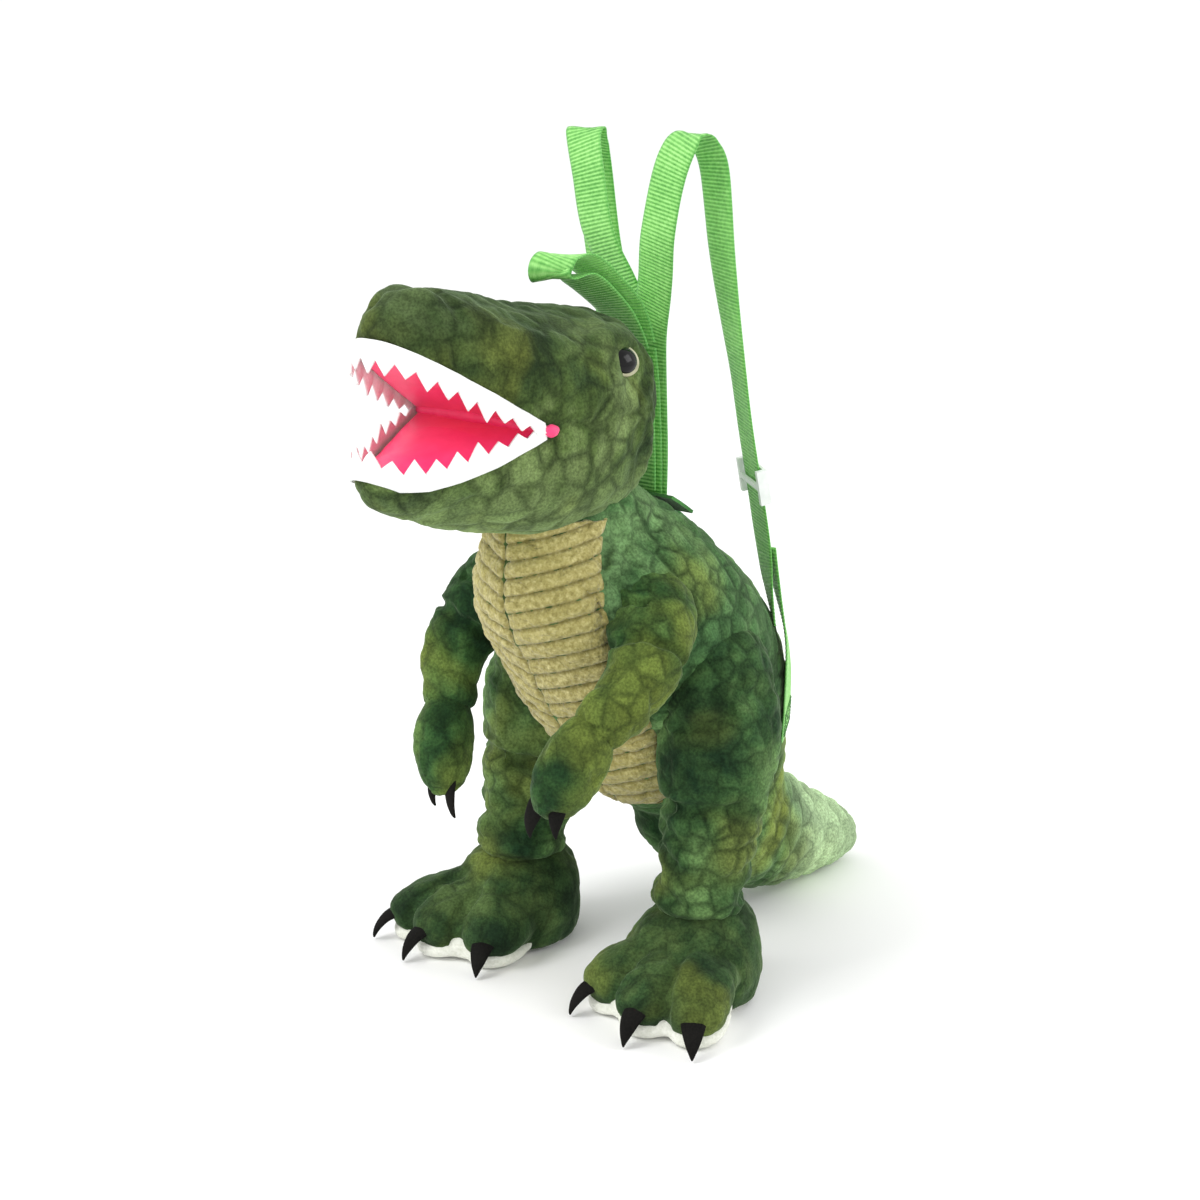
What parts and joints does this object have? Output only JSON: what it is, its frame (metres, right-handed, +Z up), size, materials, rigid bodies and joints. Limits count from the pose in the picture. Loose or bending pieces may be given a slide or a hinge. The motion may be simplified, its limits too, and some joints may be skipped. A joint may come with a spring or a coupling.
{
  "type": "plush dinosaur backpack",
  "caption": "Stuffed two-legged dinosaur with an open toothed mouth, quilted belly, zipped pocket in its back, two webbing shoulder straps and a carrying handle.",
  "frame": {"origin": "centre of the bounding box in plan, at floor level under the two soles", "axes": "+Z up, the dinosaur faces -Y, +X is the dinosaur's own left side"},
  "size_m": [0.2702, 0.456, 0.5161],
  "materials": {
    "plush": "short-pile plush with a printed and embossed scale pattern, mottled greens",
    "head_plush": "short-pile plush, darker grey-green",
    "foot_plush": "short-pile plush, dark green",
    "tail_plush": "short-pile plush, pale yellow-green",
    "belly": "fleecy khaki pile quilted in chevron channels",
    "stuffing": "loose white polyester fibre",
    "lining": "thin woven pocket lining",
    "satin": "pink satin with a soft sheen",
    "felt": "white felt cut in a saw-tooth edge",
    "claw": "black felt",
    "sole": "off-white short pile",
    "webbing": "ribbed woven nylon webbing, bright green",
    "zip": "woven zip tape and moulded coil, mint green",
    "zip_metal": "mint enamelled slider and pull",
    "plastic": "white moulded plastic",
    "eye": "black gloss button with a pale rim"
  },
  "bodies": {
    "torso": {"torso_skin": "plush", "torso_padding": "stuffing", "pocket_lining": "lining", "belly_panel": "belly", "zip_tape_left": "zip", "zip_tape_right": "zip", "zip_coil": "zip", "strap_anchor_patch": "lining", "strap_upper_left": "webbing", "strap_upper_right": "webbing", "strap_lower_left": "webbing", "strap_lower_right": "webbing", "handle_base": "webbing"},
    "head": {"head_skin": "head_plush", "head_fill": "stuffing", "mouth_lining_upper": "satin", "upper_teeth": "felt", "eye_left": "eye", "eye_right": "eye", "eye_washer_left": "plastic", "eye_washer_right": "plastic"},
    "jaw": {"jaw_skin": "head_plush", "jaw_fill": "stuffing", "mouth_lining_lower": "satin", "lower_teeth": "felt"},
    "tail": {"tail_skin": "tail_plush", "tail_fill": "stuffing"},
    "handle": {"handle_loop": "webbing"},
    "zip_slider": {"zip_slider": "zip_metal"},
    "zip_pull": {"zip_pull": "zip_metal"},
    "arm_left": {"arm_skin_left": "plush", "arm_fill_left": "stuffing", "hand_skin_left": "plush", "hand_fill_left": "stuffing", "hand_claw_inner_left": "claw", "hand_claw_outer_left": "claw"},
    "leg_left": {"leg_skin_left": "plush", "leg_fill_left": "stuffing", "foot_skin_left": "foot_plush", "foot_fill_left": "stuffing", "sole_left": "sole", "toe_claw_outer_left": "claw", "toe_claw_middle_left": "claw", "toe_claw_inner_left": "claw"},
    "adjuster_left": {"strap_adjuster_left": "plastic"},
    "arm_right": {"arm_skin_right": "plush", "arm_fill_right": "stuffing", "hand_skin_right": "plush", "hand_fill_right": "stuffing", "hand_claw_inner_right": "claw", "hand_claw_outer_right": "claw"},
    "leg_right": {"leg_skin_right": "plush", "leg_fill_right": "stuffing", "foot_skin_right": "foot_plush", "foot_fill_right": "stuffing", "sole_right": "sole", "toe_claw_outer_right": "claw", "toe_claw_middle_right": "claw", "toe_claw_inner_right": "claw"},
    "adjuster_right": {"strap_adjuster_right": "plastic"}
  },
  "joints": [
    {"name": "head_turn", "type": "hinge", "parent": "torso", "child": "head", "pos_m": [0, -0.05903, 0.302], "axis": [0, 0, 1], "range_deg": [-25, 25], "stiffness_Nm_per_rad": 0.25},
    {"name": "jaw_close", "type": "hinge", "parent": "head", "child": "jaw", "pos_m": [0, -0.13303, 0.362], "axis": [-1, 0, 0], "range_deg": [0, 15], "stiffness_Nm_per_rad": 0.2},
    {"name": "arm_raise_left", "type": "hinge", "parent": "torso", "child": "arm_left", "pos_m": [0.05, -0.05503, 0.243], "axis": [-1, 0, 0], "range_deg": [-25, 40], "stiffness_Nm_per_rad": 0.12},
    {"name": "arm_raise_right", "type": "hinge", "parent": "torso", "child": "arm_right", "pos_m": [-0.05, -0.05503, 0.243], "axis": [-1, 0, 0], "range_deg": [-8, 55], "stiffness_Nm_per_rad": 0.12},
    {"name": "leg_swing_left", "type": "hinge", "parent": "torso", "child": "leg_left", "pos_m": [0.049, -0.00303, 0.158], "axis": [-1, 0, 0], "range_deg": [-10, 25], "stiffness_Nm_per_rad": 0.35},
    {"name": "leg_swing_right", "type": "hinge", "parent": "torso", "child": "leg_right", "pos_m": [-0.049, -0.00303, 0.158], "axis": [-1, 0, 0], "range_deg": [-10, 25], "stiffness_Nm_per_rad": 0.35},
    {"name": "tail_wag", "type": "hinge", "parent": "torso", "child": "tail", "pos_m": [0, 0.06297, 0.095], "axis": [0, 0, 1], "range_deg": [-20, 20], "stiffness_Nm_per_rad": 0.3},
    {"name": "handle_lift", "type": "hinge", "parent": "torso", "child": "handle", "pos_m": [0, -0.00203, 0.39], "axis": [-1, 0, 0], "range_deg": [0, 18], "stiffness_Nm_per_rad": 0.03},
    {"name": "zip_travel", "type": "hinge", "parent": "torso", "child": "zip_slider", "pos_m": [0, -0.11503, 0.092], "axis": [-1, 0, 0], "range_deg": [0, 35]},
    {"name": "zip_pull_swing", "type": "hinge", "parent": "zip_slider", "child": "zip_pull", "pos_m": [0, 0.03257, 0.2837], "axis": [1, 0, 0], "range_deg": [0, 110]},
    {"name": "adjuster_slide_left", "type": "slide", "parent": "torso", "child": "adjuster_left", "axis": [-0.0097, -0.2334, 0.9723], "range_m": [-0.028, 0.028]},
    {"name": "adjuster_slide_right", "type": "slide", "parent": "torso", "child": "adjuster_right", "axis": [0.0097, -0.2334, 0.9723], "range_m": [-0.028, 0.028]}
  ]
}
